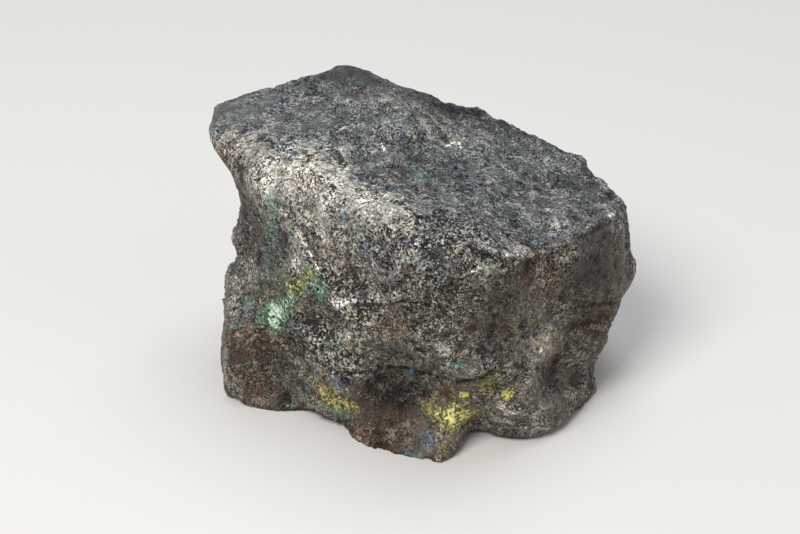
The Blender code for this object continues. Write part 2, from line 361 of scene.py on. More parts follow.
# Pale lines of fresh feldspar, with painted highlight along the lit brow edge and ledges; dark seams, with
# painted shadow under the brow and the ledge and by the pits: points of the frame along each, radius,
# strength.
paleLinesAndHighlights = {
    "ribTop": (((296, 228), (300, 236), (306, 246)), 1.1, 0.95),
    "ribRight": (((306, 246), (312, 257), (319, 270)), 0.8, 0.85),
    "ribLeft": (((300, 248), (295, 260), (290, 273)), 0.8, 0.9),
    "ribMiddle": (((304, 250), (301, 261), (296, 271)), 0.7, 0.8),
    "ribFoot": (((295, 272), (300, 271)), 0.7, 0.9),
    "topArc": (((446, 147), (452, 143), (459, 142), (461, 147)), 0.6, 0.8),
    "topMark": (((381, 140), (384, 150)), 0.6, 0.9),
    "topFleck": (((338, 131), (345, 127)), 0.6, 0.7),
    "oliveSlant": (((303, 268), (309, 275), (315, 281)), 0.7, 1),
    # painted highlight along the lit brow edge
    "brow": ((
        (488, 250), (512, 257), (540, 254), (557, 249), (570, 239), (584, 230), (604, 219), (620, 210),
    ), 0.8, 0.8),
    # painted highlight along the lit edges of the ledges
    "ledge": (((334, 306), (344, 300), (356, 301)), 0.8, 0.95),
    "ledgeMiddle": (((372, 299), (386, 297), (398, 299), (408, 292)), 0.75, 0.95),
    "ledgeRight": (((472, 271), (484, 268), (496, 268), (500, 260)), 0.75, 0.9),
    "pitArc": (((414, 248), (417, 240), (422, 233)), 0.7, 0.85),
    "tipRim": (((205, 119), (207, 132), (213, 146)), 0.9, 0.7),
    "lobeRim": (((534, 300), (524, 330), (530, 352)), 0.7, 0.4),
    "lipRim": (((446, 368), (470, 364), (492, 358)), 0.5, 0.5),
    "leftRim": (((227, 345), (225, 365), (226, 390)), 0.8, 0.5),
}
seamsAndShadows = {
    "greenUpper": (((264, 314), (270, 320), (276, 325)), 0.5, 0.9),
    "greenLower": (((273, 314), (278, 318), (283, 323)), 0.5, 1),
    "greenSide": (((270, 292), (271, 302), (272, 310)), 0.45, 0.7),
    "ribShade": (((301, 224), (309, 240), (316, 254)), 1.1, 0.6),
    "ribBack": (((262, 232), (259, 258), (262, 280)), 0.8, 0.5),
    "yellowUpper": (((352, 380), (344, 384), (336, 383)), 0.6, 0.6),
    # painted shadow under the ledge
    "shadowUnderLedge": (((352, 305), (368, 305), (380, 304), (392, 304), (408, 299)), 0.8, 0.95),
    "pitShade": (((464, 245), (472, 249), (482, 250), (489, 256)), 1, 0.9),
    "rightSlit": (((478, 284), (492, 279), (506, 281)), 0.5, 0.6),
    # painted shadow under the brow
    "shadowUnderBrow": (((520, 262), (545, 260), (566, 250), (590, 234), (614, 221)), 0.9, 0.6),
}


def lineRelief(points, lines):
    # height (1 - (d / r)^2)^2 within r of each line, 0 beyond it
    total = np.zeros(len(points))
    for spots, radius, height in lines.values():
        line = onStone(spots)
        distance = np.min([segmentDistance(points, a, b) for a, b in zip(line[:-1], line[1:])], axis=0)
        total = np.maximum(total, height * np.clip(1 - (distance / radius) ** 2, 0, 1) ** 2)
    return total


# Patches: point (x, y) of the camera's frame, half length, half width, turn from level, strength.
patches = {
    "cream": (
        (300, 185, 13, 6, -12, 1), (345, 202, 9, 5, -15, 1), (382, 207, 7, 3, -25, 0.9),
        (262, 167, 7, 4, -45, 0.7), (235, 143, 3, 3.5, 60, 0.8), (250, 160, 4, 2.6, -60, 0.9),
        (325, 222, 6, 4, -60, 0.7), (295, 254, 5, 2.4, 72, 1.1), (206, 120, 1.4, 3.5, 70, 0.8),
        (475, 242, 6, 2, -20, 0.4), (520, 252, 7, 1.2, 2, 0.5), (225, 365, 1.2, 9, -5, 0.5),
        (345, 150, 2.2, 1.4, 30, 0.5), (420, 120, 3, 1.4, -60, 0.4), (560, 225, 4, 1.2, 20, 0.4),
        (308, 336, 1.2, 1, 0, 1.1), (480, 242, 1.2, 1, 20, 1.6),
        (380, 298, 1.9, 1, 10, 1.3), (400, 296, 1.5, 0.9, -20, 1.2), (492, 267, 3, 1.4, -15, 1),
        (337, 305, 2, 1.4, 30, 1.2), (443, 350, 1, 1, 0, 1.2), (526, 252, 3.2, 1, 0, 1.2),
        (540, 350, 0.9, 0.9, 0, 0.5), (500, 410, 4, 2.6, 0, 0.45), (350, 335, 2.5, 1.5, 20, 0.4),
    ),
    "cool": (
        (330, 125, 24, 10, -5, 0.7), (450, 150, 26, 12, -25, 0.9), (560, 190, 16, 9, -30, 0.8),
        (530, 228, 9, 6, 0, 0.7), (425, 172, 7, 5, -30, 1), (388, 256, 9, 7, 10, 0.8),
    ),
    "brown": (
        (535, 275, 9, 5, -10, 0.8), (596, 322, 5, 4, 0, 0.9), (312, 412, 8, 2.4, -22, 1.7),
        (380, 440, 8, 3, -12, 1.6), (395, 415, 8, 4, 0, 0.7), (232, 165, 4.5, 3.5, -70, 0.9),
        (440, 392, 6, 3, 10, 0.8),
        (500, 320, 8, 4, 15, 0.45), (250, 345, 9, 6, 10, 0.6), (250, 385, 8, 7, 0, 0.6),
        (462, 252, 5, 2.5, 0, 0.5), (395, 325, 4, 3, 0, 0.5), (560, 375, 8, 8, 60, 0.5),
        (385, 402, 8, 5, 0, 0.9), (600, 262, 8, 8, 0, 0.4),
    ),
    # painted shade: darker in the recess over the foot, under the belly's edge and the lip, in the left
    # hollow and on the right faces turned from the light
    "paintedShade": (
        (400, 396, 8, 4, 10, 0.7), (315, 325, 5, 4, 40, 0.9), (560, 380, 6, 8, -60, 0.6),
        (590, 265, 8, 6, 60, 0.5), (246, 225, 3, 7, 0, 0.6), (345, 378, 4, 1.6, -35, 0.9),
        (500, 300, 6, 5, 20, 0.5), (287, 398, 2, 2, 0, 1), (430, 372, 5, 1.6, 5, 0.8),
    ),
    "pitted": (
        (465, 235, 11, 6, -15, 1), (400, 245, 10, 6, 0, 0.9), (340, 285, 12, 8, -30, 0.7),
        (330, 345, 12, 4, -30, 0.9), (420, 290, 14, 8, 0, 0.6), (350, 310, 8, 6, 0, 0.8),
        (320, 190, 14, 7, -15, 0.5),
    ),
    "calm": (
        (226, 112, 8, 5, 0, 0.9), (350, 74, 8, 4, 0, 0.9), (602, 285, 8, 13, 5, 0.9),
        (540, 345, 7, 9, 0, 0.6),
        (560, 385, 8, 7, 0, 0.5), (250, 370, 8, 8, 0, 0.4), (395, 402, 9, 6.5, 0, 1),
        (420, 448, 10, 4, 0, 0.7),
        (490, 316, 9, 6, 10, 0.6),
    ),
    # teal, green, gold and blue: where the painted labradorescence reflection shows
    "teal": (
        (285, 250, 7, 12, -15, 0.3), (274, 202, 2.8, 2.2, 30, 0.7), (267, 217, 2, 1.6, 60, 0.5),
        (272, 232, 0.9, 3, -15, 0.9),
        (268, 255, 0.9, 4, -6, 0.9), (263, 276, 0.9, 2.6, -20, 0.8), (250, 304, 1.5, 1.3, 0, 0.8),
        (233, 326, 1.2, 1, 0, 0.8), (320, 292, 1.6, 2.6, 10, 0.9), (283, 250, 3, 5, 0, 0.45),
        (420, 175, 6, 4, -30, 0.45), (450, 202, 1.6, 0.9, 0, 0.7), (355, 232, 1.2, 0.9, 0, 0.8),
        (457, 365, 1.8, 1, 30, 1), (431, 386, 1.6, 0.8, 30, 0.7), (338, 413, 4.5, 0.8, -18, 0.9),
        (262, 318, 2, 3, 40, 0.8), (414, 456, 0.8, 0.7, 0, 1.2),
    ),
    "green": (
        (277, 314, 3, 2.3, 35, 1.9), (288, 300, 2.9, 1.3, 52, 1.3), (300, 287, 3.8, 2.4, 30, 0.85),
        (296, 290, 6, 4, 35, 0.55),
        (318, 285, 1.8, 2.8, 20, 0.9), (313, 283, 0.8, 0.7, 0, 1.5), (310, 272, 2.6, 1.2, -30, 0.8),
        (338, 408, 4, 0.9, -22, 0.6),
    ),
    "gold": (
        (330, 396, 5, 2.4, -33, 0.85), (346, 404, 2.8, 1.6, -30, 0.8), (454, 417, 6.4, 3.4, -4, 1.25),
        (440, 404, 4.4, 3.2, 30, 0.45), (488, 385, 3.4, 2.4, 20, 0.7), (464, 394, 1.2, 0.9, 30, 2.6),
        (508, 394, 1.3, 1.1, 50, 2.6), (504, 343, 0.7, 0.7, 0, 1.4), (500, 371, 1.6, 1.2, 0, 0.6),
        (444, 451, 1.6, 1.3, 30, 0.8), (296, 284, 3.6, 2.4, 35, 0.8), (301, 292, 0.6, 2.2, -8, 0.9),
        (310, 274, 2.4, 1, -35, 0.8), (512, 290, 1, 0.7, 20, 0.5), (355, 345, 3, 1.6, 10, 0.3),
    ),
    "blue": (
        (420, 446, 2.8, 0.8, 28, 0.9), (406, 453, 1.6, 0.7, 10, 1), (303, 384, 1.4, 1.2, 0, 0.6),
        (337, 384, 2, 0.9, -20, 1), (411, 371, 1.8, 1.1, 30, 0.9), (442, 376, 1, 0.6, 0, 1.1),
        (340, 429, 3.4, 0.6, -20, 1), (545, 318, 1.4, 1.8, 0, 0.5), (393, 346, 0.8, 0.6, 0, 0.8),
        (288, 322, 1, 1.4, 0, 0.7), (345, 215, 1, 1.4, 0, 0.6), (430, 440, 1.6, 1, 0, 0.8),
    ),
}


# Broad painted light and shade, with the stone's own lighter and darker tone: spots as above, their
# strength a power of two added to the colour.
shades = (
    (230, 112, 8, 4.5, 0, -0.2), (420, 172, 7, 5, -20, -1.15), (590, 195, 10, 5, -40, -0.5),
    (352, 76, 9, 4, 0, -1), (450, 106, 10, 3, -18, -1.6), (525, 128, 10, 3, -22, -1.2),
    (465, 240, 10, 5, -8, -1.1), (250, 225, 4, 8, 0, -1.3), (260, 362, 8, 8, 0, -0.9),
    (226, 365, 2.5, 10, 0, -1), (375, 325, 7, 6, 0, 0.7), (450, 315, 9, 7, 0, -1.1),
    (385, 262, 10, 7, 0, -0.85), (597, 262, 9, 9, 0, -1.1), (597, 320, 6, 5, 0, -1.3),
    (536, 345, 5, 9, 10, 1.35), (512, 418, 8, 4, 0, 0.1), (396, 394, 8, 4.5, 0, -1.05),
    (405, 446, 9, 3, 0, 0.3), (540, 230, 8, 4, -20, 0.4), (276, 314, 3, 3, 0, 0.8),
    (329, 396, 5, 2.5, -30, -0.5), (452, 419, 6, 3, 0, 0.6), (374, 320, 8, 6, 0, 0.2),
    (560, 385, 7, 6, 0, 0.5), (375, 442, 7, 3.5, -12, -0.5), (415, 449, 6, 2, 0, 0.4),
    (236, 172, 4, 7, -30, -1.2), (284, 255, 4.5, 7, 0, -1.05), (316, 330, 4, 4, 30, -0.5),
    (277, 203, 4, 3, 0, -0.4), (300, 130, 14, 5, 10, 0.1), (296, 284, 4, 2.6, 35, 0.9),
    (375, 208, 6, 4, -25, -0.15), (310, 188, 8, 5, -10, 0.15),
)


# Patches on the sides that the camera doesn't see: azimuth and tilt from the core, then as above.
farPatches = {
    "cream": (
        (178, 24, 12, 3, 8, 0.8), (232, 20, 6, 4, 0, 0.6), (120, 15, 6, 3, -20, 0.6),
        (202, -20, 4, 3, 0, 0.5),
    ),
    "cool": ((160, 15, 12, 6, 0, 0.5),),
    "brown": (
        (150, 5, 12, 8, 10, 0.7), (215, -10, 10, 7, -20, 0.7), (100, -20, 9, 6, 0, 0.7),
        (265, -25, 8, 6, 0, 0.6),
    ),
    # painted shade, low on the far sides
    "paintedShade": ((165, -15, 9, 6, 20, 0.7), (245, -15, 7, 6, 0, 0.6)),
    "pitted": ((170, 5, 14, 10, 0, 0.8), (225, -5, 10, 9, 0, 0.7), (110, 0, 8, 8, 0, 0.4)),
    "calm": ((140, 5, 9, 12, 0, 0.8), (95, -5, 9, 10, 0, 0.7)),
    "teal": (
        (185, -5, 4.5, 3.2, 20, 0.7), (205, 15, 2, 1.5, 0, 0.7), (262, 0, 2.4, 3.6, 20, 0.5),
        (80, -10, 1.6, 1.2, 0, 0.5),
    ),
    "green": ((182, -8, 2.6, 1.3, 20, 1.1), (262, -5, 1.6, 2, 10, 0.6)),
    "gold": ((140, -15, 4, 2.4, -20, 0.9), (225, -28, 3, 2, 10, 0.8)),
    "blue": ((145, -8, 1.6, 1, 0, 0.9), (195, -12, 2.6, 0.9, 20, 0.9), (90, 5, 1.2, 1, 0, 0.5)),
}


spotDepth = 1.3  # as a share of the larger half size
patchPeak = 1.35


def spotSpaces(points, spots):
    # each spot's own coordinates: along its length, across it and away from the camera, in half sizes
    place, right, up, forward = cameraFrame()
    middles = onStone([spot[:2] for spot in spots])
    for middle, (_, _, halfLength, halfWidth, turn, strength) in zip(middles, spots):
        yield spotSpace(points, middle, (right, up, forward), halfLength, halfWidth, turn), strength


def farSpaces(points, spots):
    # the same for spots given by their direction from the core
    outward = np.array([facing(*spot[:2]) for spot in spots])
    middles = stone["core"] + outward * fromCore(outward)[:, None]
    for middle, away, (_, _, halfLength, halfWidth, turn, strength) in zip(middles, outward, spots):
        level = np.cross((0, 0, 1), away)
        level /= np.linalg.norm(level)
        axes = (level, np.cross(away, level), away)
        yield spotSpace(points, middle, axes, halfLength, halfWidth, turn), strength


def spotSpace(points, middle, axes, halfLength, halfWidth, turn):
    # (p - middle) . (along / length, across / width, away / depth), along and across turned by the angle
    right, up, away = axes
    along = right * cos(radians(turn)) + up * sin(radians(turn))
    across = up * cos(radians(turn)) - right * sin(radians(turn))
    depth = spotDepth * max(halfLength, halfWidth)
    return (points - middle) @ np.stack([along / halfLength, across / halfWidth, away / depth], axis=1)


def shadeOf(points):
    # sum of strength exp(-|local|^2) over the spots
    return sum(strength * np.exp(-(local**2).sum(axis=1)) for local, strength in spotSpaces(points, shades))


def patchMask(points, name):
    # the largest strength * peak * exp(-|local|^2) of the spots
    mask = np.zeros(len(points))
    for local, strength in [*spotSpaces(points, patches[name]), *farSpaces(points, farPatches[name])]:
        mask = np.maximum(mask, strength * patchPeak * np.exp(-(local**2).sum(axis=1)))
    return mask


def boxGrid(cells):
    # whole-number points on the faces of a box of cells, each shared by its neighbours, and the quads
    corners = []
    for axis in range(3):
        u, v = (axis + 1) % 3, (axis + 2) % 3
        a, b = np.meshgrid(np.arange(cells[u]), np.arange(cells[v]), indexing="ij")
        for side in (0, 1):
            quad = np.zeros((a.size, 4, 3), np.int64)
            quad[:, :, axis] = side * cells[axis]
            for k, (da, db) in enumerate(((0, 0), (1, 0), (1, 1), (0, 1))):
                quad[:, k, u], quad[:, k, v] = a.ravel() + da, b.ravel() + db
            corners.append(quad if side else quad[:, ::-1])
    corners = np.concatenate(corners)
    key = (corners[..., 0] * (cells[1] + 1) + corners[..., 1]) * (cells[2] + 1) + corners[..., 2]
    _, first, quads = np.unique(key.ravel(), return_index=True, return_inverse=True)
    return corners.reshape(-1, 3)[first], quads.reshape(-1, 4)


def fineRelief(points, pitted):
    # flakes + facets + grit - round pits, which are deeper where the stone is pitted
    low, rise, calm = stone["calmTop"]
    rough = roughness(points) * (1 - calm * np.clip((points[:, 2] - low) / rise, 0, 1))
    rough = stone["fineLeast"] + rough
    bent = points + wander(noise, points, *stone["fineTwist"], seeds["fineTwist"])
    size, depth = stone["flake"]
    height = depth * rough * (chips(bent, size, seeds["flake"]) - stone["chipMean"])
    for (size, lean), seed in zip(stone["facet"], seeds["facet"]):
        height += lean * rough * facets(bent, size, seed)
    size, rise = stone["grit"]
    height += rise * noise(points, size, seeds["grit"])
    spacing, depth, radius = stone["pit"]
    patchSize, mean, least = stone["pitPatch"]
    hole = np.clip(1 - chips(bent, spacing, seeds["pit"]) / radius**2, 0, 1)
    placed = np.clip(noise(points, patchSize, seeds["pitPatch"]) + mean, 0, 1)
    return height - depth * (least + pitted) * hole * placed


def makeStone():
    # each grid point goes along its ray, tan(pi/4 u) on the unit box, out to the broken surface
    cells = stone["cells"]
    lattice, quads = boxGrid(cells)
    rays = np.tan((2 * lattice / np.array(cells) - 1) * pi / 4)
    rays /= np.linalg.norm(rays, axis=1, keepdims=True)
    core, count = np.array(stone["core"]), len(rays)
    plain, around = fromCore(rays), search["around"]
    broken = findSurface(
        core, rays, lambda p: plainStone(p) - relief(p), plain - around, plain + around, search["finer"])
    points = core + rays * broken[:, None]
    pitted = patchMask(points, "pitted")
    fine = fineRelief(points, pitted) + lineRelief(points, ridges) - lineRelief(points, cracks)
    down = np.minimum(rays[:, 2], search["steepest"])
    toGround = np.where(rays[:, 2] < search["steepest"], -core[2] / down, np.inf)
    points = core + rays * np.minimum(broken + fine, toGround)[:, None]
    print("stone surface", count, "points")

    mesh = bpy.data.meshes.new("labradoriteChunk")
    ground = np.array([*stone["centre"], 0.0])
    placed = (points - ground) * millimetre
    mesh.vertices.add(count)
    mesh.vertices.foreach_set("co", placed.astype(np.float32).ravel())
    mesh.loops.add(quads.size)
    mesh.loops.foreach_set("vertex_index", quads.astype(np.int32).ravel())
    mesh.polygons.add(len(quads))
    mesh.polygons.foreach_set("loop_start", np.arange(0, quads.size, 4, dtype=np.int32))
    mesh.update(calc_edges=True)
    mesh.validate()
    mesh.shade_smooth()
    piece = bpy.data.objects.new("labradoriteChunk", mesh)
    bpy.context.scene.collection.objects.link(piece)

    normals = np.zeros(count * 3, np.float32)
    mesh.vertex_normals.foreach_get("vector", normals)
    normals, broad = normals.reshape(-1, 3), stone["broad"]
    kept = {name: patchMask(points, name) for name in patches} | {
        "hollow": 1 - plainStone(points + normals * broad) / broad,
        "edge": 1 + plainStone(points - normals * broad) / broad,
        "sunken": -fine,
        "shade": shadeOf(points),
        "paleAndHighlight": lineRelief(points, paleLinesAndHighlights),
        "seamAndShadow": lineRelief(points, seamsAndShadows),
    }
    for name, values in kept.items():
        mesh.attributes.new(name, "FLOAT", "POINT").data.foreach_set("value", values.astype(np.float32))
    print("stone attributes")
    return piece


def put(tree, kind, inputs=None, output=0, **settings):
    # one node; an input is a value or another node's output
    item = tree.nodes.new("ShaderNode" + kind)
    for name, value in settings.items():
        setattr(item, name, value)
    for name, value in (inputs or {}).items():
        if isinstance(value, bpy.types.NodeSocket):
            tree.links.new(value, item.inputs[name])
        else:
            item.inputs[name].default_value = value
    return item.outputs[output]


def maths(tree, operation, a, b, c=0.0):
    return put(tree, "Math", {0: a, 1: b, 2: c}, operation=operation)


def vector(tree, operation, *given, **named):
    inputs = {**dict(enumerate(given)), **named}
    return put(tree, "VectorMath", inputs, operation=operation)


def span(tree, value, low, high, toLow=0.0, toHigh=1.0, shape="LINEAR"):
    return put(tree, "MapRange", {
        "Value": value, "From Min": low, "From Max": high, "To Min": toLow, "To Max": toHigh,
    }, interpolation_type=shape)


def fade(tree, value, low, high):
    return span(tree, value, low, high, shape="SMOOTHSTEP")


def blend(tree, share, a, b):
    # colours a and b may be values or outputs
    a, b = ((*v, 1.0) if isinstance(v, tuple) else v for v in (a, b))
    return put(tree, "Mix", {0: share, 6: a, 7: b}, output=2, data_type="RGBA")


def noiseTexture(tree, where, size, detail=2.0, rough=0.5, output=0):
    return put(tree, "TexNoise", {
        "Vector": where, "Scale": 1 / (size * millimetre), "Detail": detail, "Roughness": rough,
    }, output=output)


def attribute(tree, name):
    return put(tree, "Attribute", output="Fac", attribute_name=name)


def spreadNoise(tree, where, size, detail, rough, width):
    # noise, mostly 0.5 -+ width, opened out to -0.5 ... 0.5
    value = noiseTexture(tree, where, size, detail, rough)
    return span(tree, value, 0.5 - width, 0.5 + width, -0.5, 0.5)


def centred(tree, value):
    return maths(tree, "SUBTRACT", value, 0.5)


def addShare(tree, value, share, total):
    # total + share * value
    return maths(tree, "MULTIPLY_ADD", value, share, total)


def product(tree, first, *others):
    # all of them multiplied together
    for other in others:
        first = maths(tree, "MULTIPLY", first, other)
    return first


def cellTexture(tree, where, size, output="Color"):
    return put(tree, "TexVoronoi", {
        "Vector": where, "Scale": 1 / (size * millimetre)}, output=output)


def randomCells(tree, where, size, channel, along=None, stretch=1.0):
    # a random value for each cell; cells may be stretched along a direction
    if along is not None:
        turn = Vector(along).to_track_quat("Y", "Z").to_euler()
        where = put(tree, "Mapping", {
            "Vector": where, "Rotation": turn, "Scale": (1.0, stretch, 1.0)}, vector_type="TEXTURE")
    return put(tree, "SeparateColor", {0: cellTexture(tree, where, size)}, output=channel)


def newGroup(name, inputs, outputs):
    # inputs and outputs: socket names with their kinds
    tree = bpy.data.node_groups.new(name, "ShaderNodeTree")
    for side, sockets in (("INPUT", inputs), ("OUTPUT", outputs)):
        for socket, kind in sockets.items():
            tree.interface.new_socket(socket, in_out=side, socket_type="NodeSocket" + kind)
    return tree, tree.nodes.new("NodeGroupInput").outputs, tree.nodes.new("NodeGroupOutput").inputs


# Crystal sizes and directions.
crystals = {
    "wander": (1.6, 0.42),  # over what length and how far the cells' edges wander
    "grain": 0.55, "grit": 0.27, "clump": 1.5,
    "lath": 0.30, "lathStretch": 6.0,
    "lathWays": ((0.78, -0.15, -0.60), (0.30, -0.35, 0.88), (0.90, 0.42, 0.12)),
    "lathShares": (0.35, 0.68),  # clumps above these values have the second and third way
    "streak": 0.26, "streakStretch": 8.0, "streakWay": (0.62, -0.40, -0.68),
}


def grainGroup():
    # crystals: random-toned cells of three sizes, and laths that lie one of three ways in each clump
    tree, given, made = newGroup("crystalGrain", {"Where": "Vector"}, {
        "Grain": "Float", "Grit": "Float", "Clump": "Float", "Lath": "Float", "Streak": "Float",
        "Lean": "Vector"})
    where = given["Where"]
    size, reach = crystals["wander"]
    aside = noiseTexture(tree, where, size, output="Color")
    aside = vector(tree, "SUBTRACT", aside, (0.5, 0.5, 0.5))
    bent = vector(tree, "ADD", where, vector(tree, "SCALE", aside, Scale=reach * millimetre))
    lean = cellTexture(tree, bent, crystals["grain"])
    clump = randomCells(tree, bent, crystals["clump"], 2)
    ways = [randomCells(tree, bent, crystals["lath"], k, along, crystals["lathStretch"])
            for k, along in enumerate(crystals["lathWays"])]
    lath = ways[0]
    for limit, way in zip(crystals["lathShares"], ways[1:]):
        lath = blend(tree, maths(tree, "GREATER_THAN", clump, limit), lath, way)
    streak = randomCells(
        tree, bent, crystals["streak"], 0, crystals["streakWay"], crystals["streakStretch"])
    outputs = {
        "Grain": put(tree, "SeparateColor", {0: lean}),
        "Grit": randomCells(tree, bent, crystals["grit"], 1),
        "Clump": randomCells(tree, bent, crystals["clump"], 0),
        "Lath": lath, "Streak": streak, "Lean": lean,
    }
    for name, value in outputs.items():
        tree.links.new(value, made[name])
    return tree


# Flashes, painted reflection: the labradorescence that the stone shows only at some angles, painted into
# the colour. Deep and lit colour, then where a patch and its lit streaks begin and are full.
flashes = {
    "colours": {
        "teal": ((0.078, 0.115, 0.104), (0.26, 0.52, 0.46)),
        "blue": ((0.05, 0.08, 0.105), (0.14, 0.36, 0.52)),
        "green": ((0.068, 0.156, 0.082), (0.76, 1.0, 0.78)),
        "gold": ((0.152, 0.134, 0.056), (0.95, 0.87, 0.28)),
    },
    "ragged": 0.7,
    "edge": (0.1, 1.15),
    "coreShare": 0.22,
    "litPatch": (0.45, 1.3),
    "litStreak": (0.74, 1.1),
    "sheen": (1.6, 0.4),  # shares of the streaks and of the grain in the deep colour's light
    "lines": (0.5, 0.6),  # shares of the grain and of the streaks in what is lit
    "goldLines": (0.7, 0.35),  # the same for gold, with laths in place of streaks
    "cover": 0.85,
    "smoother": -0.12,
    "metallic": 0.1,
}


def flashGroup():
    # one flash colour, painted reflection: its patch with a broken edge, deep between and bright on the lit
    # streaks
    tree, given, made = newGroup("flash", {
        "Patch": "Float", "Break": "Float", "Streak": "Float", "Light": "Float",
        "Deep": "Color", "Bright": "Color"}, {"Colour": "Color", "Mask": "Float"})
    broken = addShare(tree, given["Break"], flashes["ragged"], given["Patch"])
    mask = fade(tree, broken, *flashes["edge"])
    core = addShare(tree, broken, flashes["coreShare"], given["Streak"])
    lit = product(
        tree, span(tree, broken, *flashes["litPatch"]), span(tree, core, *flashes["litStreak"]))
    deep = vector(tree, "SCALE", given["Deep"], Scale=given["Light"])
    tree.links.new(blend(tree, lit, deep, given["Bright"]), made["Colour"])
    tree.links.new(mask, made["Mask"])
    return tree


# Colours are linear, as light sent back by the bare mineral, apart from the painted shade's colour.
rock = {
    "warmGrey": (0.128, 0.117, 0.095),
    "coolGrey": (0.098, 0.107, 0.110),
    "cream": (0.388, 0.363, 0.322),
    "brown": (0.112, 0.065, 0.043),
    # painted shade, the colour of the dark patches in recesses and under edges
    "paintedShade": (0.045, 0.039, 0.034),
    "paleAndHighlight": (0.62, 0.60, 0.56),
    "whiteSpeck": (0.66, 0.635, 0.575),
    # near black: painted shade inside the pits and under edges, and dark cracks
    "blackSpeck": (0.010, 0.009, 0.008),
    # noise: size, detail, roughness, width
    "wide": (11.0, 3.0, 0.55, 0.2),
    "middling": (2.8, 3.0, 0.6, 0.18),
    "fine": (0.7, 2.0, 0.6, 0.2),
    # patches: how much each layer breaks their edges, and from where to where they fade in
    "rags": {"middling": 0.9, "clump": 0.35, "lath": 0.5},
    "edge": (0.2, 0.8),
    "topCool": (0.35, 0.8),  # how far a face has to point upwards to be cool grey
    "strayBrown": (0.1, 0.9, 0.6),  # from, to, strength
    "wornRags": 0.3,
    "wornEdge": (0.25, 0.6),
    "wornPatch": (-0.1, 0.4, 0.0, 0.5),
    "paintedShadeShare": 0.8,
    "paleAndHighlightEdge": (0.25, 0.85),
    "seamAndShadowEdge": (0.15, 0.8),
    "seamAndShadowShare": 0.85,
    # how much each layer changes the light, as powers of two across its range
    "contrast": {"grain": 1.4, "grit": 3.1, "clump": 0.9, "lath": 2.3, "middling": 0.85, "wide": 0.6},
    "busy": (3.4, 2.0, 0.5),  # plain and busy patches: size, detail, roughness
    "busySpan": (0.36, 0.64, 0.5, 1.65),
    # how much more or less contrast there is where the stone is pitted, calm or cream
    "pittedContrast": 2.2,
    "calmContrast": 0.45,
    "creamContrast": 0.6,
    "darkTail": 0.15,  # how much further the dark grains go than the bright ones
    "lift": 0.34,  # as a power of two, over the whole stone
    "sunkenShade": (0.0, 0.7, 0.0, 1.1),
    "hollowShade": (0.0, 0.5, 0.0, 0.7),
    "tint": (0.26, 0.06, -0.26),  # how far crystals differ in hue, from warm to cool
    # white crystals: the share of cells, clusters, and how few there are where the stone is calm
    "whiteGrit": (0.86, 0.95),
    "whiteLath": (0.88, 0.95),
    "whiteGrain": (0.90, 0.97),
    "whiteCluster": (-0.05, 0.6),
    "whiteCalm": (0.2, 0.8, 1.0, 0.25),
    "clusterWide": 0.5,
    "clusterPitted": 0.3,
    # pits and flecks: spacing, outer and inner radius as shares of it
    "pits": ((1.3, 0.41, 0.34), (0.75, 0.44, 0.35)),
    "pitPlaces": {"pitted": 0.5, "cool": -0.2, "calm": -0.4, "cream": -0.25},
    "pitSpan": (0.0, 0.4, 0.0, 0.95),
    "flecks": ((1.6, 0.23, 0.15), (0.95, 0.22, 0.13)),
    "fleckSpan": (0.05, 0.5, 0.0, 0.9),
    "fleckCalm": (0.2, 0.8, 1.0, 0.2),
    "dotRags": 0.1,
    # surface
    "lean": 0.42,  # how far the crystals' faces lean from the surface
    "height": {"fine": 0.5, "grit": 0.3, "lath": 0.3, "middling": 0.7, "hole": -0.9},
    "bump": (0.8, 0.35),  # strength, and height in millimetres
    "roughness": (0.38, 0.70),
    "specular": 0.22,
}


def dots(tree, where, kinds, grit):
    # round spots of several sizes, their edges broken by grit
    found = []
    for spacing, outer, inner in kinds:
        away = cellTexture(tree, where, spacing, "Distance")
        away = addShare(tree, centred(tree, grit), rock["dotRags"], away)
        found.append(fade(tree, away, outer, inner))
    return maths(tree, "MAXIMUM", *found)


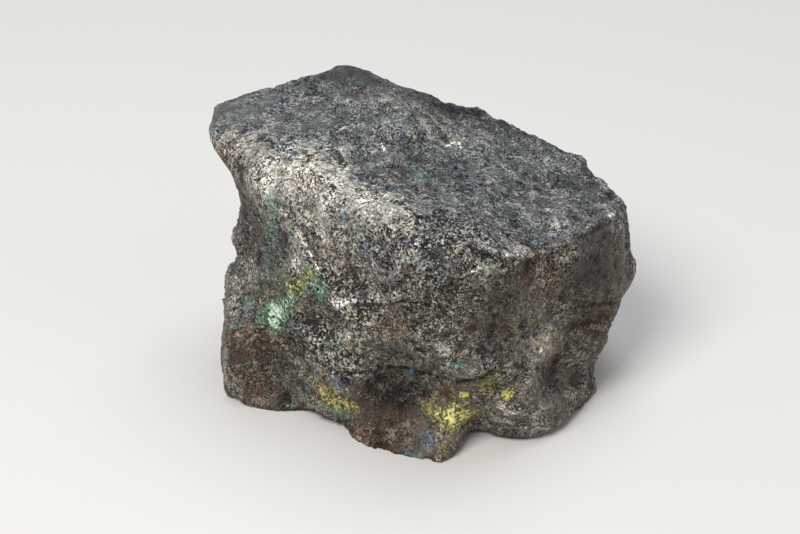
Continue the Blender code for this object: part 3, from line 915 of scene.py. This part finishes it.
def rockMaterial():
    material = bpy.data.materials.new("labradoriteRock")
    material.use_nodes = True
    tree = material.node_tree
    shader = tree.nodes["Principled BSDF"]
    where = put(tree, "TexCoord", output="Object")
    group = tree.nodes.new("ShaderNodeGroup")
    group.node_tree = grainGroup()
    tree.links.new(where, group.inputs["Where"])
    grain, grit, clump, lath, streak, lean = (
        group.outputs[name] for name in ("Grain", "Grit", "Clump", "Lath", "Streak", "Lean"))
    wide, middling, fine = (
        spreadNoise(tree, where, *rock[name]) for name in ("wide", "middling", "fine"))
    pitted, calm = attribute(tree, "pitted"), attribute(tree, "calm")

    # patches' edges are broken by middling noise, clumps and laths
    rags = product(tree, middling, rock["rags"]["middling"])
    rags = addShare(tree, centred(tree, clump), rock["rags"]["clump"], rags)
    rags = addShare(tree, centred(tree, lath), rock["rags"]["lath"], rags)

    def brokenPatch(name):
        return fade(tree, maths(tree, "ADD", rags, attribute(tree, name)), *rock["edge"])

    upward = put(tree, "SeparateXYZ", {
        0: put(tree, "NewGeometry", output="Normal")}, output="Z")
    cool = maths(tree, "MAXIMUM", span(tree, upward, *rock["topCool"]), brokenPatch("cool"))
    colour = blend(tree, cool, rock["warmGrey"], rock["coolGrey"])
    low, high, strength = rock["strayBrown"]
    stray = span(tree, maths(tree, "SUBTRACT", wide, middling), low, high)
    stray = product(tree, stray, strength)
    colour = blend(tree, maths(tree, "MAXIMUM", brokenPatch("brown"), stray), colour, rock["brown"])
    worn = span(tree, addShare(tree, rags, rock["wornRags"], attribute(tree, "edge")), *rock["wornEdge"])
    worn = product(tree, worn, span(tree, wide, *rock["wornPatch"]))
    creamy = maths(tree, "MAXIMUM", brokenPatch("cream"), worn)
    colour = blend(tree, creamy, colour, rock["cream"])
    # painted shade in recesses and under edges
    colour = blend(tree, product(tree, brokenPatch("paintedShade"), rock["paintedShadeShare"]), colour, rock["paintedShade"])
    # pale lines: fresh feldspar, and painted highlight along the brow and the ledges
    paleAndHighlight = attribute(tree, "paleAndHighlight")
    paleAndHighlight = maths(tree, "MULTIPLY_ADD", paleAndHighlight, rags, paleAndHighlight)
    colour = blend(tree, fade(tree, paleAndHighlight, *rock["paleAndHighlightEdge"]), colour, rock["paleAndHighlight"])
    hue = centred(tree, put(tree, "SeparateColor", {0: lean}, output=1))
    tint = vector(tree, "MULTIPLY_ADD", hue, rock["tint"], (1.0, 1.0, 1.0))
    colour = vector(tree, "MULTIPLY", colour, tint)

    # light: two to the power of all the layers added up: the grain's tone, and painted light and shade from
    # the shade spots, with painted shade where the relief is sunken and in hollows
    contrast = rock["contrast"]
    power = addShare(tree, wide, contrast["wide"], product(tree, middling, contrast["middling"]))
    for name, value in (("grain", grain), ("grit", grit), ("clump", clump), ("lath", lath)):
        power = addShare(tree, centred(tree, value), contrast[name], power)
    busy = span(tree, noiseTexture(tree, where, *rock["busy"]), *rock["busySpan"])
    power = product(
        tree, power, product(tree, busy, span(tree, pitted, 0.0, 1.0, 1.0, rock["pittedContrast"])),
        span(tree, calm, 0.0, 1.0, 1.0, rock["calmContrast"]),
        span(tree, creamy, 0.0, 1.0, 1.0, rock["creamContrast"]))
    power = addShare(tree, product(tree, power, power), -rock["darkTail"], power)
    broad = maths(tree, "ADD", attribute(tree, "shade"), rock["lift"])
    for name in ("sunken", "hollow"):
        broad = maths(tree, "SUBTRACT", broad, span(tree, attribute(tree, name), *rock[name + "Shade"]))
    light = maths(tree, "POWER", 2.0, maths(tree, "ADD", power, broad))
    colour = vector(tree, "SCALE", colour, Scale=light)

    # white crystals, dark pits, painted near black as the shade inside them, and pale flecks, in clusters
    cluster = addShare(tree, pitted, rock["clusterPitted"], middling)
    cluster = addShare(tree, wide, rock["clusterWide"], cluster)
    white = span(tree, grit, *rock["whiteGrit"])
    for value, limits in ((lath, rock["whiteLath"]), (grain, rock["whiteGrain"])):
        white = maths(tree, "MAXIMUM", white, span(tree, value, *limits))
    white = product(
        tree, white, span(tree, cluster, *rock["whiteCluster"]), span(tree, calm, *rock["whiteCalm"]))
    colour = blend(tree, white, colour, rock["whiteSpeck"])
    holed = middling
    for name, value in (("cool", cool), ("pitted", pitted), ("calm", calm), ("cream", creamy)):
        holed = addShare(tree, value, rock["pitPlaces"][name], holed)
    hole = product(tree, dots(tree, where, rock["pits"], grit), span(tree, holed, *rock["pitSpan"]))
    colour = blend(tree, hole, colour, rock["blackSpeck"])
    fleck = product(
        tree, dots(tree, where, rock["flecks"], grit), span(tree, cluster, *rock["fleckSpan"]),
        span(tree, calm, *rock["fleckCalm"]))
    colour = blend(tree, fleck, colour, rock["whiteSpeck"])

    # flashes of painted reflection, smoother than the grain around them
    streakShare, grainShare = flashes["sheen"]
    sheen = addShare(tree, centred(tree, streak), streakShare, product(tree, power, grainShare))
    sheen = maths(tree, "POWER", 2.0, sheen)
    flash, flashed = flashGroup(), None
    for name, (deep, bright) in flashes["colours"].items():
        item = tree.nodes.new("ShaderNodeGroup")
        item.node_tree = flash
        grainShare, lineShare = flashes["goldLines" if name == "gold" else "lines"]
        lines = product(tree, lath if name == "gold" else streak, lineShare)
        lit = addShare(tree, grain, grainShare, lines)
        for socket, value in (("Patch", attribute(tree, name)), ("Break", rags), ("Streak", lit),
                              ("Light", sheen)):
            tree.links.new(value, item.inputs[socket])
        item.inputs["Deep"].default_value = (*deep, 1)
        item.inputs["Bright"].default_value = (*bright, 1)
        share = product(tree, item.outputs["Mask"], flashes["cover"])
        colour = blend(tree, share, colour, item.outputs["Colour"])
        flashed = share if flashed is None else maths(tree, "MAXIMUM", flashed, share)
    # dark seams, and painted shadow under the brow and the ledge and by the pits
    seamAndShadow = product(tree, fade(tree, attribute(tree, "seamAndShadow"), *rock["seamAndShadowEdge"]), rock["seamAndShadowShare"])
    colour = blend(tree, seamAndShadow, colour, rock["blackSpeck"])
    tree.links.new(colour, shader.inputs["Base Color"])

    rough = span(tree, grain, 0.0, 1.0, *rock["roughness"])
    tree.links.new(addShare(tree, flashed, flashes["smoother"], rough), shader.inputs["Roughness"])
    tree.links.new(product(tree, flashed, flashes["metallic"]), shader.inputs["Metallic"])
    shader.inputs["Specular IOR Level"].default_value = rock["specular"]

    # each crystal face leans its own way, over a bumped surface
    shares = rock["height"]
    height = product(tree, grit, shares["grit"])
    for name, value in (("fine", fine), ("lath", lath), ("middling", middling), ("hole", hole)):
        height = addShare(tree, value, shares[name], height)
    strength, depth = rock["bump"]
    bump = put(tree, "Bump", {
        "Height": height, "Strength": strength, "Distance": depth * millimetre})
    lean = vector(tree, "SCALE", vector(tree, "SUBTRACT", lean, (0.5, 0.5, 0.5)), Scale=rock["lean"])
    normal = vector(tree, "NORMALIZE", vector(tree, "ADD", bump, lean))
    tree.links.new(normal, shader.inputs["Normal"])
    return material


chunk = makeStone()
chunk.data.materials.append(rockMaterial())
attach(chunk, "root")
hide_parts("labradorite_chunk")
print("stone finished")

# Plain pale floor, soft lights: direction they shine from, distance, side, power.
studio = {
    "floorSide": 8.0,
    "floorPoints": 9,  # along each side
    "floorColour": (0.66, 0.65, 0.63),
    "floorRoughness": 0.85,
    "world": ((0.92, 0.94, 1.0), 0.28),
    "lights": {
        "key": (-34, 52, 0.95, 0.45, 8.0, (1.0, 0.98, 0.95)),
        "top": (160, 72, 1.0, 0.7, 4.5, (0.95, 0.98, 1.0)),
        "rightFill": (60, 30, 1.1, 0.6, 1.2, (1.0, 0.98, 0.96)),
    },
}


def makeStudio():
    # the floor is a grid of (u, v) -> (side u, side v, 0)
    many = studio["floorPoints"]
    u, v = np.meshgrid(*[np.linspace(-0.5, 0.5, many)] * 2, indexing="ij")
    points = np.stack([u, v, u * 0], axis=-1).reshape(-1, 3) * studio["floorSide"]
    at = np.arange(many**2).reshape(many, many)
    quads = np.stack([at[:-1, :-1], at[1:, :-1], at[1:, 1:], at[:-1, 1:]], axis=-1).reshape(-1, 4)
    mesh = bpy.data.meshes.new("floor")
    mesh.from_pydata(points.tolist(), [], quads.tolist())
    floor = bpy.data.objects.new("floor", mesh)
    bpy.context.scene.collection.objects.link(floor)
    paper = bpy.data.materials.new("floorPaper")
    paper.use_nodes = True
    shader = paper.node_tree.nodes["Principled BSDF"]
    shader.inputs["Base Color"].default_value = (*studio["floorColour"], 1)
    shader.inputs["Roughness"].default_value = studio["floorRoughness"]
    mesh.materials.append(paper)

    for name, (azimuth, tilt, distance, side, power, colour) in studio["lights"].items():
        lamp = bpy.data.lights.new(name, "AREA")
        lamp.shape, lamp.size = "SQUARE", side
        lamp.energy, lamp.color = power, colour
        item = bpy.data.objects.new(name, lamp)
        item.location = facing(azimuth, tilt) * distance
        item.rotation_euler = Vector(facing(azimuth, tilt)).to_track_quat("Z", "Y").to_euler()
        bpy.context.scene.collection.objects.link(item)
    world = bpy.data.worlds.new("studio")
    world.use_nodes = True
    background = world.node_tree.nodes["Background"]
    colour, strength = studio["world"]
    background.inputs["Color"].default_value = (*colour, 1)
    background.inputs["Strength"].default_value = strength
    bpy.context.scene.world = world


def makeCamera():
    place, _, _, forward = cameraFrame()
    lens = bpy.data.cameras.new("camera")
    lens.lens, lens.sensor_width = camera["lens"], camera["sensor"]
    lens.clip_start = camera["clip"]
    item = bpy.data.objects.new("camera", lens)
    item.location = (place - np.array([*stone["centre"], 0.0])) * millimetre
    item.rotation_euler = Vector(-forward).to_track_quat("Z", "Y").to_euler()
    bpy.context.scene.collection.objects.link(item)
    bpy.context.scene.camera = item


makeStudio()
makeCamera()
bpy.context.scene.view_settings.view_transform = "Standard"
print("studio and camera")
